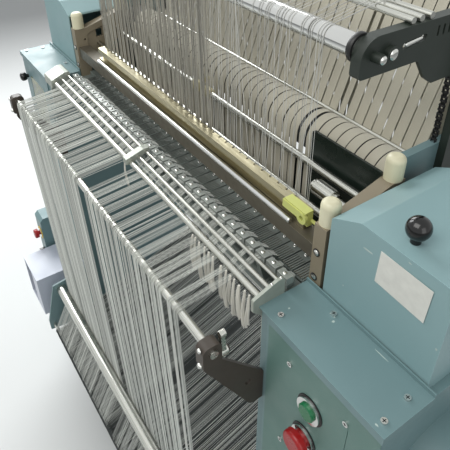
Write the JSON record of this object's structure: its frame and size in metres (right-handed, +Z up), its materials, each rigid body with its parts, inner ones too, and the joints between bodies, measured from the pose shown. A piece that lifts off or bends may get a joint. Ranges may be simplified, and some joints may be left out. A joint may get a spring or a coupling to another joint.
{
  "type": "crochet knitting machine",
  "caption": "Flat crochet knitting machine with two end housings, warp rods, a needle bed, a lifting weft bar and rollers that draw off narrow knitted tapes.",
  "frame": {"origin": "centre of the bounding box at floor level, under the feet", "axes": "+X along the machine to the end with the operator's buttons, -Y to the operator's side with the warp threads, +Z up"},
  "size_m": [1.28, 0.55, 1.3433],
  "materials": {
    "frame_paint": "satin blue-grey machine enamel",
    "cover_paint": "satin blue-grey machine enamel",
    "plate_paint": "dark grey-green enamel",
    "green_paint": "dark green enamel",
    "pale_paint": "pale lavender-white enamel",
    "guide_casting": "dark phosphated iron",
    "guide_alloy": "grey cast alloy, oiled",
    "lift_plate": "beige painted plate",
    "cap_plastic": "cream plastic",
    "bright_steel": "ground and polished steel",
    "dark_steel": "blackened steel, oiled and stained",
    "chrome_bar": "hard chrome",
    "brass_track": "worn brass",
    "slider_paint": "yellow-green paint",
    "roller_rubber": "black rubber covering",
    "black_plastic": "black phenolic",
    "green_button": "green moulded plastic",
    "red_button": "red moulded plastic",
    "motor_paint": "grey motor enamel",
    "belt_rubber": "black belt rubber",
    "foot_steel": "black painted steel",
    "warp_yarn": "pale grey elastic yarn",
    "weft_yarn": "pale grey yarn",
    "tape_fabric": "cream knitted tape"
  },
  "bodies": {
    "machine_frame": {"belt_cover": "cover_paint", "button_box": "cover_paint", "button_rings": "chrome_bar", "centre_bracket": "bright_steel", "cover_screws": "chrome_bar", "cross_rails": "frame_paint", "drive_belt": "belt_rubber", "drive_motor": "motor_paint", "front_bar_arms": "dark_steel", "front_guide_bar": "bright_steel", "junction_box": "pale_paint", "knitted_tapes": "tape_fabric", "left_front_panel": "cover_paint", "left_housing": "cover_paint", "left_side_frame": "frame_paint", "levelling_feet": "foot_steel", "lids": "cover_paint", "lift_posts": "bright_steel", "lower_bar_brackets": "frame_paint", "lower_guide_bar": "bright_steel", "needle_bed": "guide_casting", "overhead_frames": "plate_paint", "overhead_rods": "bright_steel", "overhead_tube": "chrome_bar", "rear_cover": "green_paint", "right_front_panel": "cover_paint", "right_housing": "cover_paint", "right_side_frame": "frame_paint", "rod_end_plates": "bright_steel", "tape_rod": "bright_steel", "warp_rods": "bright_steel", "warp_threads": "warp_yarn", "weft_threads": "weft_yarn", "yarn_guide_rods": "bright_steel"},
    "right_hood": {"right_hood": "cover_paint", "right_hood_knob": "black_plastic"},
    "left_hood": {"left_hood": "cover_paint", "left_hood_knob": "black_plastic"},
    "start_button": {"start_button": "green_button"},
    "stop_button": {"stop_button": "red_button"},
    "side_button": {"side_button": "red_button"},
    "side_knob": {"side_knob": "black_plastic"},
    "clamp_lever": {"clamp_lever": "bright_steel"},
    "warp_swing": {"swing_shaft": "guide_casting"},
    "warp_guides": {"warp_guide_bar": "guide_casting", "guide_blocks": "guide_alloy"},
    "needle_carriage": {"needle_bar": "guide_casting", "needle_plates": "guide_casting"},
    "weft_lift": {"lift_frames": "lift_plate", "lift_caps": "cap_plastic", "lift_tie_rods": "bright_steel", "weft_beam": "lift_plate", "weft_front_bar": "chrome_bar"},
    "weft_carriage": {"weft_track": "brass_track", "weft_slider": "slider_paint"},
    "tape_roller": {"tape_roller": "roller_rubber"},
    "take_down_roller": {"take_down_roller": "roller_rubber"},
    "upper_roller": {"upper_roller": "roller_rubber"},
    "main_shaft": {"main_shaft": "bright_steel"},
    "motor_pulley": {"motor_pulley": "bright_steel"}
  },
  "joints": [
    {"name": "right_hood_hinge", "type": "hinge", "parent": "machine_frame", "child": "right_hood", "pos_m": [0.4925, 0.1415, 0.9993], "axis": [-1, 0, 0], "range_deg": [0, 70]},
    {"name": "left_hood_hinge", "type": "hinge", "parent": "machine_frame", "child": "left_hood", "pos_m": [-0.5425, 0.1415, 0.9993], "axis": [-1, 0, 0], "range_deg": [0, 70]},
    {"name": "start_push", "type": "slide", "parent": "machine_frame", "child": "start_button", "axis": [0, 1, 0], "range_m": [0, 0.004], "stiffness_N_per_m": 400, "springref_m": -0.003},
    {"name": "stop_push", "type": "slide", "parent": "machine_frame", "child": "stop_button", "axis": [0, 1, 0], "range_m": [0, 0.004], "stiffness_N_per_m": 400, "springref_m": -0.003},
    {"name": "side_push", "type": "slide", "parent": "machine_frame", "child": "side_button", "axis": [0, 1, 0], "range_m": [0, 0.005], "stiffness_N_per_m": 400, "springref_m": -0.003},
    {"name": "side_knob_turn", "type": "hinge", "parent": "machine_frame", "child": "side_knob", "pos_m": [-0.611, -0.2, 0.362], "axis": [0, 1, 0], "range_deg": [-45, 45]},
    {"name": "clamp_lever_turn", "type": "hinge", "parent": "machine_frame", "child": "clamp_lever", "pos_m": [0.39, -0.196, 0.97], "axis": [0, 1, 0], "range_deg": [-60, 60]},
    {"name": "warp_swing", "type": "hinge", "parent": "machine_frame", "child": "warp_swing", "pos_m": [-0.025, -0.064, 0.946], "axis": [1, 0, 0], "range_deg": [-3, 3]},
    {"name": "warp_shog", "type": "slide", "parent": "warp_swing", "child": "warp_guides", "axis": [1, 0, 0], "range_m": [-0.002, 0.002]},
    {"name": "needle_stroke", "type": "slide", "parent": "machine_frame", "child": "needle_carriage", "axis": [0, 1, 0], "range_m": [-0.006, 0.006]},
    {"name": "weft_rise", "type": "slide", "parent": "machine_frame", "child": "weft_lift", "axis": [0, 0, 1], "range_m": [-0.008, 0.008]},
    {"name": "weft_shog", "type": "slide", "parent": "weft_lift", "child": "weft_carriage", "axis": [1, 0, 0], "range_m": [-0.012, 0.012]},
    {"name": "tape_roller_spin", "type": "hinge", "parent": "machine_frame", "child": "tape_roller", "pos_m": [-0.025, 0.107, 1.098], "axis": [1, 0, 0], "continuous": true},
    {"name": "take_down_spin", "type": "hinge", "parent": "machine_frame", "child": "take_down_roller", "pos_m": [-0.025, 0.051, 0.882], "axis": [1, 0, 0], "continuous": true},
    {"name": "upper_roller_spin", "type": "hinge", "parent": "machine_frame", "child": "upper_roller", "pos_m": [-0.025, 0.24224, 1.308], "axis": [1, 0, 0], "continuous": true},
    {"name": "main_shaft_spin", "type": "hinge", "parent": "machine_frame", "child": "main_shaft", "pos_m": [-0.025, -0.015, 0.85], "axis": [1, 0, 0], "continuous": true},
    {"name": "motor_spin", "type": "hinge", "parent": "machine_frame", "child": "motor_pulley", "pos_m": [0.55, -0.015, 0.46], "axis": [1, 0, 0], "continuous": true}
  ],
  "couplings": [
    {"joint": "take_down_spin", "follows": "tape_roller_spin", "ratio": -1.7},
    {"joint": "upper_roller_spin", "follows": "tape_roller_spin", "ratio": 2.125},
    {"joint": "motor_spin", "follows": "main_shaft_spin", "ratio": 2.0455}
  ]
}
